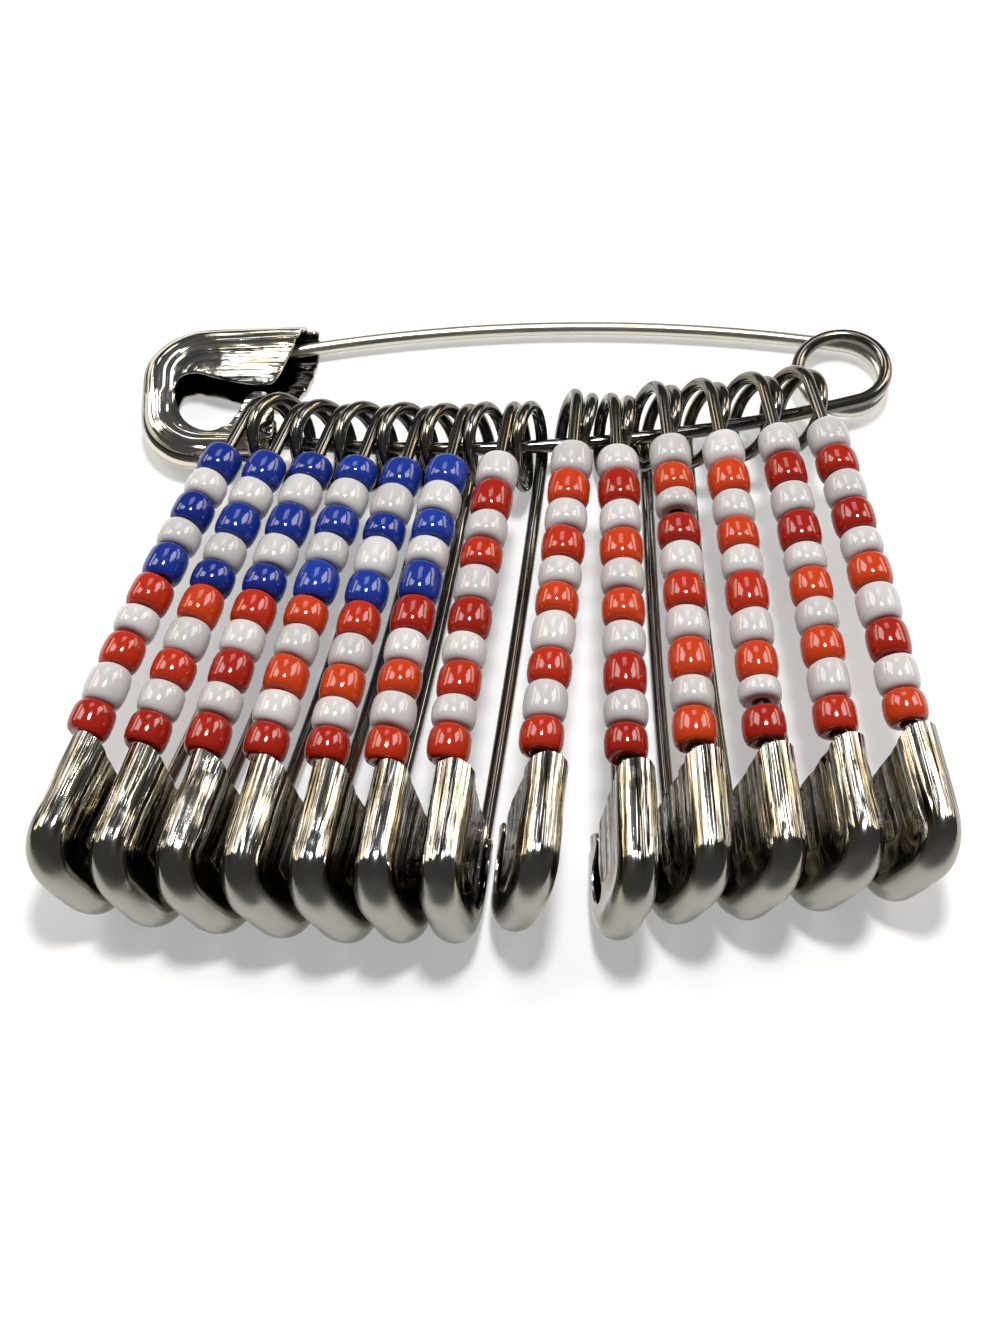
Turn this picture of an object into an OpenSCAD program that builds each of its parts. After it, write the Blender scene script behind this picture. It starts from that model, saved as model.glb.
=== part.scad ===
// Safety pin brooch: thirteen small safety pins strung with glass beads, hung on one large pin.
// Millimetres. It lies flat on a table, seen from the front edge of the caps: x to the right
// along the large pin, y away from the viewer, z up, floor at z = 0.

/* [View] */
// press the large needle in toward its spine, degrees
press = 0; // [0:0.5:5]

/* [Large pin] */
// overall length, a 2 inch pin
main_length = 51; // [45:0.5:60]
// wire diameter
main_wire = 0.9; // [0.7:0.05:1.2]
// outside diameter of the coil
main_coil = 6.8; // [5.5:0.1:8.5]
// bow of the two arms, as a radius
main_bow = 100; // [80:5:250]
// length of the cap along its guard
main_cap_length = 11.1; // [9:0.1:13]
// width of the cap across both arms
main_cap_width = 11.4; // [10:0.1:13]
// sheet thickness of the cap
main_cap_wall = 0.3; // [0.2:0.02:0.4]
// turn of the pin in the plane of the table
main_yaw = 3.1; // [0:0.1:8]

/* [Small pins] */
// overall length, a 1.5 inch pin
pin_length = 38; // [36:0.5:42]
// wire diameter
pin_wire = 0.82; // [0.6:0.02:0.9]
// outside diameter of the coil
pin_coil = 6; // [5.6:0.1:7]
// bow of the two arms, as a radius
pin_bow = 220; // [120:10:400]
// length of the cap along its guard
pin_cap_length = 8.9; // [7:0.1:9.5]
// width of the cap across both arms
pin_cap_width = 8.2; // [7.6:0.1:8.6]
// sheet thickness of the cap
pin_cap_wall = 0.22; // [0.15:0.01:0.3]

/* [Fits] */
// air between neighbouring turns of a coil
turn_gap = 0.08; // [0.05:0.01:0.15]
// air between a wire and the flat sides of its cap
cap_play = 0.03; // [0.02:0.01:0.1]
// how far the rolled edges of a cap stand proud of its flat sides
cap_roll = 0.06; // [0.04:0.01:0.15]
// gap left at each joint between bends of wire, half of it on either side
seam_gap = 0.02; // [0.01:0.01:0.05]
// how far the collar over such a joint stands proud of the wire
joint_swell = 0.008; // [0.005:0.001:0.01]
// length of the ground point of a needle
point_length = 2.6; // [1.5:0.1:4]
// radius left at the end of the point
point_end = 0.08; // [0.05:0.01:0.2]

/* [Beads] */
// bead diameter
bead_d = 2.75; // [2.2:0.05:2.8]
// drilled hole is this much wider than the wire
bead_hole_play = 0.2; // [0.2:0.02:0.4]
// air between beads on a needle
bead_gap = 0.1; // [0.1:0.01:0.2]
// first bead starts this far along the needle from the coil centre
bead_start = 3.5; // [3.3:0.1:4.5]
// last bead ends this far before the cap
bead_end_gap = 0.35; // [0.2:0.05:1]

/* [Hidden] */
$fn = 48;
// steps of a full turn of bent wire, per millimetre of its radius
arc_steps = 10;

// lie of each small pin: place of its ring along x, how far the ring hangs in front of the
// spine, turn in the plane of the table (cap to the left is negative), lean to the left
RING_X = 0; HANG = 1; YAW = 2; LEAN = 3;
PIN_LIE = [
    [-14.65, 0.2, -17.4,  32],
    [-11.85, 0.5, -15.9,  32],
    [ -9.05, 0.5, -14.1,  32],
    [ -6.30, 0.5, -12.4,  31],
    [ -3.65, 0.6, -10.4,  28],
    [ -1.15, 0.6,  -8.8,  21],
    [  1.60, 0.7,  -7.8,  12],
    [  4.90, 0.2,  -6.2, -14],
    [  7.50, 0.8,  -0.6, -12],
    [ 10.20, 0.2,   1.2, -22],
    [ 13.20, 0.4,   3.1, -27],
    [ 16.50, 0.5,   4.9, -30],
    [ 19.50, 0.7,   7.6, -30],
];

// relative bead lengths along each needle, from the coil down: hand-cut glass is uneven
BEAD_CUT = [
    [11,  9, 10,  9, 11, 11,  9, 11, 12, 10],
    [11, 10, 11, 10,  9, 11, 11, 10, 10, 10],
    [ 9, 11, 12, 11, 10, 11, 10, 11, 10, 12],
    [ 9, 10, 10, 10, 12, 10, 10, 11, 10, 10],
    [11, 11,  9, 12, 11, 11, 10, 11,  9, 10],
    [11, 10, 10,  9, 12, 12, 10, 10, 11, 10],
    [11, 12, 10, 10, 12, 12, 10, 11,  9, 11],
    [11, 11, 10, 11,  9, 10, 12, 11, 11, 10],
    [ 9, 12, 10, 11, 10, 11, 11, 12, 10, 10],
    [11, 10,  9, 10, 11, 11, 11, 12, 10, 11],
    [11, 11, 10, 10,  9, 12, 11, 11,  9, 10],
    [11, 12, 11, 12,  9, 11, 10, 11, 12, 11],
    [11, 10, 10, 11,  9, 11, 12, 12, 11, 10],
];

// bead colours from the coil down: w white, r red, b blue
CORNER_ROW = "bwbwbrwrwr";
STRIPE_ROW = "wrwrwrwrwr";
corner_pins = 6;

// steel and glass, only for the drawing
wire_color = [0.62, 0.62, 0.6];
cap_color = [0.74, 0.74, 0.72];
white_color = [0.93, 0.93, 0.93];
red_color = [0.85, 0.16, 0.06];
blue_color = [0.1, 0.2, 0.65];

// one safety pin as a list of its sizes, read by the names below
WIRE = 0; COIL_R = 1; BOW = 2; END = 3; CAP_L = 4; CAP_W = 5; WALL = 6;
function pin_sizes(length, wire, coil, bow, cap_length, cap_width, wall) =
    [wire, (coil - wire) / 2, bow, length - coil / 2, cap_length, cap_width, wall];

MAIN = pin_sizes(main_length, main_wire, main_coil, main_bow,
                 main_cap_length, main_cap_width, main_cap_wall);
SMALL = pin_sizes(pin_length, pin_wire, pin_coil, pin_bow,
                  pin_cap_length, pin_cap_width, pin_cap_wall);

// Every pin is drawn in its own frame: coil centre at the origin, coil axis z, cap toward +x,
// needle on the +y side and spine on the -y side.

// each arm lies this far above or below the middle plane, so that the turns clear each other
function arm_z(p) = (p[WIRE] + turn_gap) / 1.5;
function flat_inside(p) = 2 * (arm_z(p) + p[WIRE] / 2 + cap_play);
function cap_thick(p) = flat_inside(p) + 2 * p[WALL] + 2 * cap_roll;
function mouth_x(p) = p[END] - p[CAP_L];
// the arm lies against the inside of the rolled edge where it enters the cap
function mouth_y(p) = p[CAP_W] / 2 - cap_thick(p) / 2 - 2 * cap_play
    + sqrt(max(0, pow(cap_thick(p) / 2 - p[WALL] - p[WIRE] / 2, 2) - pow(arm_z(p), 2)));

// an arm is an arc that leaves the coil on a tangent and passes the mouth of the cap
function bow_centre_r(p) = p[BOW] - p[COIL_R];
function mouth_r(p) = norm([mouth_x(p), mouth_y(p)]);
function leave_angle(p) = atan2(mouth_y(p), mouth_x(p))
    + asin((pow(mouth_r(p), 2) + pow(bow_centre_r(p), 2) - pow(p[BOW], 2))
           / (2 * bow_centre_r(p) * mouth_r(p)));
function bow_centre(p) = bow_centre_r(p) * [sin(leave_angle(p)), -cos(leave_angle(p))];
// slope of the arm at a distance x from the coil centre
function arm_slope(p, x) = asin((bow_centre(p)[0] - x) / p[BOW]);
function arm_y(p, x) = bow_centre(p)[1] + p[BOW] * cos(arm_slope(p, x));

// corner of a cap's outline, and the middle line of its rolled edge
function corner_r(p) = 0.38 * p[CAP_W];
function roll_y(p) = (p[CAP_W] - cap_thick(p)) / 2;

// wire that sticks into the cap beyond its mouth
function inside_length(p) = 0.66 * p[CAP_L];

// a bend of wire; its ends stop just short of the joints, where a collar carries it on
module arc_wire(p, radius, from, to) {
    seam = seam_gap / radius * 180 / PI;
    rotate([0, 0, from + seam])
        rotate_extrude(angle = to - from - 2 * seam, $fn = arc_steps * radius)
            translate([radius, 0]) circle(d = p[WIRE], $fn = 32);
}
// a collar lies along y over a joint; it is cut off square to the bends on either side of it
collar_stock = 2;
function reach(radius) = sqrt(joint_swell * radius) / 2;
module collar(p) {
    rotate([90, 0, 0])
        cylinder(d = p[WIRE] + 2 * joint_swell, h = collar_stock, center = true, $fn = 32);
}
// keeps what is less than the collar's reach into a bend that runs on from the given angle
module end_cut(radius, angle, side) {
    rotate([0, 0, angle + side * reach(radius) / radius * 180 / PI])
        translate([radius - collar_stock, side > 0 ? -2 * collar_stock : 0, -collar_stock])
            cube(2 * collar_stock);
}

// straight wire along x, ground to a point or cut off square
module straight_wire(p, length, point) {
    r = p[WIRE] / 2;
    rotate([0, 90, 0]) rotate_extrude($fn = 32)
        polygon([[0, seam_gap], [r, seam_gap], [r, length - point],
                 [point > 0 ? point_end : r, length], [0, length]]);
}

// frame of the half turn that climbs from the middle of the coil to an arm, and its radius
function tilt(p) = atan(arm_z(p) / (2 * p[COIL_R]));
function tilted_r(p) = p[COIL_R] / cos(tilt(p));
module tilted(p) { translate([0, 0, arm_z(p) / 2]) rotate([0, tilt(p), 0]) children(); }

// half of a pin's wire: from the middle of the coil round to one arm and into the cap
module half_wire(p, point = 0) {
    leave = 90 + leave_angle(p);
    mouth = 90 + arm_slope(p, mouth_x(p));
    tilted(p) arc_wire(p, tilted_r(p), 180, 360);
    intersection() {
        translate([-p[COIL_R], 0, arm_z(p)]) collar(p);
        tilted(p) end_cut(tilted_r(p), 180, 1);
        translate([0, 0, arm_z(p)]) end_cut(p[COIL_R], 180, -1);
    }
    translate([0, 0, arm_z(p)]) {
        arc_wire(p, p[COIL_R], leave, 180);
        intersection() {
            rotate([0, 0, leave]) translate([p[COIL_R], 0]) collar(p);
            end_cut(p[COIL_R], leave, 1);
            translate(bow_centre(p)) end_cut(p[BOW], leave, -1);
        }
        translate(bow_centre(p)) {
            arc_wire(p, p[BOW], mouth, leave);
            intersection() {
                rotate([0, 0, mouth]) translate([p[BOW], collar_stock / 2 - reach(p[BOW])])
                    collar(p);
                end_cut(p[BOW], mouth, 1);
            }
        }
        translate([mouth_x(p), mouth_y(p)]) rotate([0, 0, mouth - 90])
            straight_wire(p, inside_length(p), point);
    }
}

module needle_half(p) { half_wire(p, point = point_length); }
module spine_half(p) { rotate([180, 0, 0]) half_wire(p); }

// the cap as a closed pillow of sheet; inset by the wall it is its own cavity
module cap_pillow(p, inset) {
    flat = flat_inside(p) + 2 * (p[WALL] - inset);
    roll = cap_thick(p) - 2 * inset;
    corner = corner_r(p) - cap_thick(p) / 2;
    bar = roll_y(p) - corner;
    start = mouth_x(p) - p[WIRE];
    corner_x = p[END] - corner_r(p);
    module straight(length, reach) {
        rotate([90, 0, 90]) linear_extrude(length) {
            translate([-reach, -flat / 2]) square([2 * reach, flat]);
            for (side = [-1, 1]) translate([side * reach, 0]) circle(d = roll);
        }
    }
    translate([start, 0, 0]) straight(corner_x - start, roll_y(p));
    for (side = [0, 1]) mirror([0, side, 0])
        translate([corner_x, bar, 0]) rotate_extrude(angle = 90) {
            translate([0, -flat / 2]) square([corner, flat]);
            intersection() {
                translate([corner, 0]) circle(d = roll);
                translate([0, -roll]) square([corner + roll, 2 * roll]);
            }
        }
    translate([corner_x, bar, 0]) rotate([90, 0, 0]) linear_extrude(2 * bar) {
        translate([0, -flat / 2]) square([corner, flat]);
        translate([corner, 0]) circle(d = roll);
    }
}

// side view of the sheet, drawn on a cap 11 long and 11 wide, from the end back to the mouth:
// guard with its slanting mouth, the lobe, the round window and the ear over the spine
CAP_OUTLINE = [
    [-1, 6], [11.4, 6], [11, 5.2], [9.2, 0.7], [8.7, 0.3], [7.6, 0.4], [6.1, 0.7], [5, 1.1],
    [4, 1.5], [3.2, 1.5], [2.6, 1.1], [2.3, 0.2], [2.4, -0.8], [2.7, -1.8], [3.2, -2.7],
    [3.9, -3.3], [4.8, -3.5], [5.7, -3.3], [6.4, -2.6], [6.9, -1.7], [7.2, -0.8], [7.6, -0.4],
    [8.3, -0.4], [8.8, -0.8], [9, -2], [8.9, -3.6], [8.4, -6], [-1, -6],
];
outline_size = 11;
// the small caps close further over their sides, so their window is smaller
SMALL_OUTLINE = [
    [-1, 6], [11.4, 6], [11, 5.2], [9.6, 1.6], [9.1, -0.6], [8.4, -1.3], [7, -1.5], [5.8, -1.5],
    [4.8, -1.2], [3.8, -1], [3.1, -1.3], [2.7, -2], [3, -2.9], [3.8, -3.5], [4.8, -3.7],
    [6, -3.6], [7.2, -3], [8, -2.6], [8.6, -2.7], [8.9, -3.4], [8.9, -4.2], [8.4, -6], [-1, -6],
];

module cap(p, outline) {
    intersection() {
        difference() {
            cap_pillow(p, 0);
            cap_pillow(p, p[WALL]);
        }
        translate([p[END], 0, -cap_thick(p)]) linear_extrude(2 * cap_thick(p))
            polygon([for (c = outline)
                [-c[0] * p[CAP_L] / outline_size, c[1] * p[CAP_W] / outline_size]]);
    }
}

// the large coil's place, before the whole brooch is moved to stand centred on the origin
main_at = [23.25, 0.95];
centre = [-0.19, -17.66];
// lay the large pin on its side, cap to the left
module lay_main() {
    translate([main_at[0] - centre[0], main_at[1] - centre[1], cap_thick(MAIN) / 2])
        rotate([0, 0, main_yaw]) rotate([0, 180, 0]) children();
}

// y of the large pin's spine at a place along x
function spine_y(x) = let(s = (main_at[0] - x) / cos(main_yaw))
    main_at[1] - s * sin(main_yaw) - arm_y(MAIN, s - 6 * sin(main_yaw)) * cos(main_yaw);

// a leaning pin rests on its cap and on its ring or the bow of its spine: the height of its
// middle line above the table at the cap, at the bow and at the ring
bow_at = 0.42;
function cap_z(lean) = roll_y(SMALL) * cos(lean) + cap_thick(SMALL) / 2;
function bow_z(lean) = arm_y(SMALL, bow_at * mouth_x(SMALL)) * cos(lean)
    + arm_z(SMALL) * max(0, -sin(lean)) + SMALL[WIRE] / 2 + joint_swell;
function ring_z(lean) = max((bow_z(lean) - bow_at * cap_z(lean)) / (1 - bow_at),
    SMALL[COIL_R] * cos(lean) + arm_z(SMALL) * abs(sin(lean)) + SMALL[WIRE] / 2 + joint_swell);
function pitch(lean) = asin((cap_z(lean) - ring_z(lean)) / mouth_x(SMALL));

module lay_pin(n) {
    lie = PIN_LIE[n];
    translate([lie[RING_X] - centre[0], spine_y(lie[RING_X]) - lie[HANG] - centre[1],
               ring_z(lie[LEAN])])
        rotate([0, 0, lie[YAW]]) rotate([-pitch(lie[LEAN]), 0, 0])
            rotate([90, 0, -90]) rotate([lie[LEAN], 0, 0]) children();
}

module bead(length) {
    r = bead_d / 2;
    hole = (pin_wire + bead_hole_play) / 2;
    half = length / 2;
    rotate_extrude() polygon([
        [hole, -half], [0.62 * r, -half], [0.84 * r, -0.9 * half], [0.95 * r, -0.7 * half],
        [r, -0.36 * half], [r, 0.36 * half], [0.95 * r, 0.7 * half], [0.84 * r, 0.9 * half],
        [0.62 * r, half], [hole, half],
    ]);
}

function sum_to(list, last) = last < 0 ? 0 : list[last] + sum_to(list, last - 1);
// beads fill the needle from the coil to the cap
bead_room = mouth_x(SMALL) - bead_end_gap - bead_start;
function bead_length(n, i) = BEAD_CUT[n][i] * (bead_room - 9 * bead_gap) / sum_to(BEAD_CUT[n], 9);
function bead_x(n, i) = bead_start + i * bead_gap + bead_length(n, i) / 2
    + sum_to(BEAD_CUT[n], i - 1) * (bead_room - 9 * bead_gap) / sum_to(BEAD_CUT[n], 9);
function row_of(n) = n < corner_pins ? CORNER_ROW : STRIPE_ROW;

module beads_of(n, code) {
    lay_pin(n) for (i = [0:9]) if (row_of(n)[i] == code)
        translate([bead_x(n, i), arm_y(SMALL, bead_x(n, i)), arm_z(SMALL)])
            rotate([0, 90, arm_slope(SMALL, bead_x(n, i))])
                bead(bead_length(n, i));
}

module main_spine() { color(wire_color) lay_main() spine_half(MAIN); }
module main_needle() {
    color(wire_color) lay_main() rotate([0, 0, -press]) needle_half(MAIN);
}
module main_cap() { color(cap_color) lay_main() cap(MAIN, CAP_OUTLINE); }
module small_wire(n) {
    color(wire_color) lay_pin(n) {
        needle_half(SMALL);
        spine_half(SMALL);
        intersection() {
            translate([SMALL[COIL_R], 0]) collar(SMALL);
            tilted(SMALL) end_cut(tilted_r(SMALL), 360, -1);
            rotate([180, 0, 0]) tilted(SMALL) end_cut(tilted_r(SMALL), 360, -1);
        }
    }
}
module small_cap(n) { color(cap_color) lay_pin(n) cap(SMALL, SMALL_OUTLINE); }
module white_beads(n) { color(white_color) beads_of(n, "w"); }
module red_beads(n) { color(red_color) beads_of(n, "r"); }
module blue_beads() {
    color(blue_color) for (n = [0:corner_pins - 1]) beads_of(n, "b");
}

// the small pins' pieces are numbered from the left: pin1_wire, pin1_cap, pin1_white, pin1_red
last_pin = len(PIN_LIE) - 1;
function piece(n, what) = str("pin", n + 1, "_", what);

main_spine();
main_needle();
main_cap();
blue_beads();
for (n = [0:last_pin]) {
    small_wire(n);
    small_cap(n);
    white_beads(n);
    red_beads(n);
}
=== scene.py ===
"""Looks of the safety pin brooch: own wires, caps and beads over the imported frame. Lengths are in
millimetres until MM turns them into metres."""

import math
import random

import bpy
import numpy as np
from mathutils import Matrix, Vector
from mathutils.geometry import delaunay_2d_cdt


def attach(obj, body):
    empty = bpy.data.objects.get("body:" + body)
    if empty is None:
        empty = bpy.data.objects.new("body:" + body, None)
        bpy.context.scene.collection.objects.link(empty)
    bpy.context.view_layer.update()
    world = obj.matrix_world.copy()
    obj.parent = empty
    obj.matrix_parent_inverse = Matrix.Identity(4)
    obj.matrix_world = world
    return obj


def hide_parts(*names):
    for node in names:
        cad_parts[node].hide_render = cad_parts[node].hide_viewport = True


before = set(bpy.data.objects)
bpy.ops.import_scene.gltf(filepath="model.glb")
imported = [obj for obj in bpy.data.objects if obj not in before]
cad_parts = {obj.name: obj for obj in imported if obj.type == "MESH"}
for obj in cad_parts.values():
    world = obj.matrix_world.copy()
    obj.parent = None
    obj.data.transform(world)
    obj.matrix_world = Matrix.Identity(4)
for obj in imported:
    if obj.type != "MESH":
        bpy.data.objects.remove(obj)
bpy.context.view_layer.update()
MM = 0.001

# The part's own sizes, as the solids have them.
JOINT_SWELL = 0.008
TURN_GAP, CAP_PLAY, CAP_ROLL = 0.08, 0.03, 0.06
POINT_LENGTH, POINT_END = 2.6, 0.08
# where an arm crosses the slanting turn of the coil, they are this many arm heights apart
CROSSING = 1.5
# shares of a cap's width and length: its corner radius, and the wire that sticks into it
CORNER_SHARE, INSIDE_SHARE = 0.38, 0.66
# range of a random phase or turn
ANY_PHASE = (0, 6.28)


class Pin:
    """One safety pin in its own frame: coil centre at the origin, cap toward +x, needle on +y."""

    def __init__(self, length, wire, coil, bow, cap_length, cap_width, wall):
        self.wire, self.coil_r, self.bow = wire, (coil - wire) / 2, bow
        self.end, self.cap_l, self.cap_w, self.wall = length - coil / 2, cap_length, cap_width, wall
        self.arm_z = (wire + TURN_GAP) / CROSSING
        self.flat = 2 * (self.arm_z + wire / 2 + CAP_PLAY)
        self.thick = self.flat + 2 * wall + 2 * CAP_ROLL
        self.mouth_x = self.end - cap_length
        inner = self.thick / 2 - wall - wire / 2
        self.mouth_y = (
            cap_width / 2 - self.thick / 2 - 2 * CAP_PLAY
            + math.sqrt(max(0, inner**2 - self.arm_z**2))
        )
        centre_r, mouth_r = bow - self.coil_r, math.hypot(self.mouth_x, self.mouth_y)
        self.leave = math.atan2(self.mouth_y, self.mouth_x) + math.asin(
            (mouth_r**2 + centre_r**2 - bow**2) / (2 * centre_r * mouth_r)
        )
        self.centre = (centre_r * math.sin(self.leave), -centre_r * math.cos(self.leave))
        self.roll_y = (cap_width - self.thick) / 2
        self.inside = INSIDE_SHARE * cap_length

    def slope(self, x):
        """Slope of an arm at a distance x from the coil centre."""
        return math.asin((self.centre[0] - x) / self.bow)

    def arm_y(self, x):
        """Distance of an arm from the pin's middle line there."""
        return self.centre[1] + self.bow * math.cos(self.slope(x))


# length, wire, coil, radius of the arms' bow, length and width of the cap, thickness of its sheet
MAIN = Pin(51, 0.9, 6.8, 100, 11.1, 11.4, 0.3)
SMALL = Pin(38, 0.82, 6, 220, 8.9, 8.2, 0.22)
MAIN_YAW = 3.1
# the large coil's place, and the shift that centres the whole brooch on the origin
COIL_AT, SHIFT = (23.25, 0.95), (0.19, 17.66)
# about how far the large spine lies off its pin's middle line
SPINE_OFF = 6

# each small pin: place of its ring along x, how far that hangs in front of the spine, turn, lean
PIN_LIE = [
    (-14.65, 0.2, -17.4, 32), (-11.85, 0.5, -15.9, 32), (-9.05, 0.5, -14.1, 32),
    (-6.30, 0.5, -12.4, 31), (-3.65, 0.6, -10.4, 28), (-1.15, 0.6, -8.8, 21),
    (1.60, 0.7, -7.8, 12), (4.90, 0.2, -6.2, -14), (7.50, 0.8, -0.6, -12),
    (10.20, 0.2, 1.2, -22), (13.20, 0.4, 3.1, -27), (16.50, 0.5, 4.9, -30),
    (19.50, 0.7, 7.6, -30),
]
# relative bead lengths along each needle, from the coil down
BEAD_CUT = [
    (11, 9, 10, 9, 11, 11, 9, 11, 12, 10), (11, 10, 11, 10, 9, 11, 11, 10, 10, 10),
    (9, 11, 12, 11, 10, 11, 10, 11, 10, 12), (9, 10, 10, 10, 12, 10, 10, 11, 10, 10),
    (11, 11, 9, 12, 11, 11, 10, 11, 9, 10), (11, 10, 10, 9, 12, 12, 10, 10, 11, 10),
    (11, 12, 10, 10, 12, 12, 10, 11, 9, 11), (11, 11, 10, 11, 9, 10, 12, 11, 11, 10),
    (9, 12, 10, 11, 10, 11, 11, 12, 10, 10), (11, 10, 9, 10, 11, 11, 11, 12, 10, 11),
    (11, 11, 10, 10, 9, 12, 11, 11, 9, 10), (11, 12, 11, 12, 9, 11, 10, 11, 12, 11),
    (11, 10, 10, 11, 9, 11, 12, 12, 11, 10),
]
CORNER_ROW, STRIPE_ROW, CORNER_PINS = "bwbwbrwrwr", "wrwrwrwrwr", 6
BEAD_D, BEAD_HOLE, BEAD_GAP, BEAD_START, BEAD_END = 2.75, 1.02, 0.1, 3.5, 0.35
# share of the way to the cap's mouth where the bow of a small pin's lower arm comes lowest
BOW_AT = 0.42


def rot(axis, degrees):
    return Matrix.Rotation(math.radians(degrees), 4, axis)


def move(x, y, z=0.0):
    return Matrix.Translation((x, y, z))


LAY_MAIN = (
    move(COIL_AT[0] + SHIFT[0], COIL_AT[1] + SHIFT[1], MAIN.thick / 2)
    @ rot("Z", MAIN_YAW) @ rot("Y", 180)
)


def spine_y(x):
    """y of the large spine at a place along x, before the shift."""
    yaw = math.radians(MAIN_YAW)
    s = (COIL_AT[0] - x) / math.cos(yaw)
    arm = MAIN.arm_y(s - SPINE_OFF * math.sin(yaw))
    return COIL_AT[1] - s * math.sin(yaw) - arm * math.cos(yaw)


def lay_pin(n):
    """Place of a small pin, which rests on its cap and on its ring or its bowed lower arm."""
    x, hang, yaw, lean = PIN_LIE[n]
    c, s, half = math.cos(math.radians(lean)), math.sin(math.radians(lean)), SMALL.wire / 2
    cap_z = SMALL.roll_y * c + SMALL.thick / 2
    bow_z = (SMALL.arm_y(BOW_AT * SMALL.mouth_x) * c + SMALL.arm_z * max(0, -s) + half
             + JOINT_SWELL)
    ring_z = max((bow_z - BOW_AT * cap_z) / (1 - BOW_AT),
                 SMALL.coil_r * c + SMALL.arm_z * abs(s) + half + JOINT_SWELL)
    pitch = math.degrees(math.asin((cap_z - ring_z) / SMALL.mouth_x))
    return (
        move(x + SHIFT[0], spine_y(x) - hang + SHIFT[1], ring_z)
        @ rot("Z", yaw) @ rot("X", -pitch) @ rot("Z", -90) @ rot("X", 90) @ rot("X", lean)
    )


def add_piece(name, shape, matrix, material, body, node_name):
    """A smooth mesh from millimetre points, placed, dressed and riding on its body.

    shape is (points, faces, UVs, point attributes by name, sharp edges)."""
    verts, faces, uvs, marks, sharp = shape
    mesh = bpy.data.meshes.new(name)
    points = np.asarray(verts, float)
    m = np.array(matrix)
    world = (points @ m[:3, :3].T + m[:3, 3]) * MM
    mesh.from_pydata(world.tolist(), [], faces)
    mesh.polygons.foreach_set("use_smooth", [True] * len(mesh.polygons))
    layer = mesh.uv_layers.new(name="UVMap")
    loops = np.zeros(len(mesh.loops), int)
    mesh.loops.foreach_get("vertex_index", loops)
    layer.data.foreach_set("uv", np.asarray(uvs, float)[loops].ravel())
    for word, values in marks.items():
        attribute = mesh.attributes.new(word, "FLOAT", "POINT")
        attribute.data.foreach_set("value", np.asarray(values, float))
    if sharp:
        edge_of = {frozenset(e.vertices): e for e in mesh.edges}
        for pair in sharp:
            if pair in edge_of:
                edge_of[pair].use_edge_sharp = True
    mesh.update()
    piece = bpy.data.objects.new(name, mesh)
    bpy.context.scene.collection.objects.link(piece)
    mesh.materials.append(material)
    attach(piece, body)
    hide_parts(node_name)


# Wires. Steps along their bends, in millimetres, and steps along the ground point.
TURN_STEP, BOW_STEP, POINT_STEPS = 0.22, 1.0, 5
SIDES = 28
# how much a wire's radius wanders, and how fast along its length
WANDER, WANDER_FAST, WANDER_SLOW = 0.006, 0.9, 0.31


def arc_points(centre, radius, a0, a1, step):
    n = max(2, int(abs(a1 - a0) * radius / step))
    return [
        (centre[0] + radius * math.cos(a), centre[1] + radius * math.sin(a))
        for a in np.linspace(a0, a1, n)
    ]


def half_path(pin, point):
    """Centre line and radius of half a pin's wire, from the middle of the coil into the cap."""
    tilt = math.atan(pin.arm_z / (2 * pin.coil_r))
    big = pin.coil_r / math.cos(tilt)
    line = []
    for x, y in arc_points((0, 0), big, 2 * math.pi, math.pi, TURN_STEP):
        line.append((x * math.cos(tilt), y, pin.arm_z / 2 - x * math.sin(tilt)))
    quarter = math.pi / 2
    for x, y in arc_points((0, 0), pin.coil_r, math.pi, quarter + pin.leave, TURN_STEP)[1:]:
        line.append((x, y, pin.arm_z))
    mouth = pin.slope(pin.mouth_x)
    bow = arc_points(pin.centre, pin.bow, quarter + pin.leave, quarter + mouth, BOW_STEP)
    for x, y in bow[1:]:
        line.append((x, y, pin.arm_z))
    radii = [pin.wire / 2] * len(line)
    stops = [pin.inside]
    if point:
        stops = [pin.inside - POINT_LENGTH * (1 - k / POINT_STEPS) for k in range(POINT_STEPS + 1)]
    for s in stops:
        x, y = pin.mouth_x + s * math.cos(mouth), pin.mouth_y + s * math.sin(mouth)
        line.append((x, y, pin.arm_z))
        share = max(0, (s - pin.inside + POINT_LENGTH) / POINT_LENGTH) if point else 0
        radii.append(pin.wire / 2 * math.sqrt(1 - share) + POINT_END * share)
    return np.array(line), np.array(radii)


def flipped(line):
    """The other half of a pin: turned over about its length."""
    return line * np.array([1, -1, -1])


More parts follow.
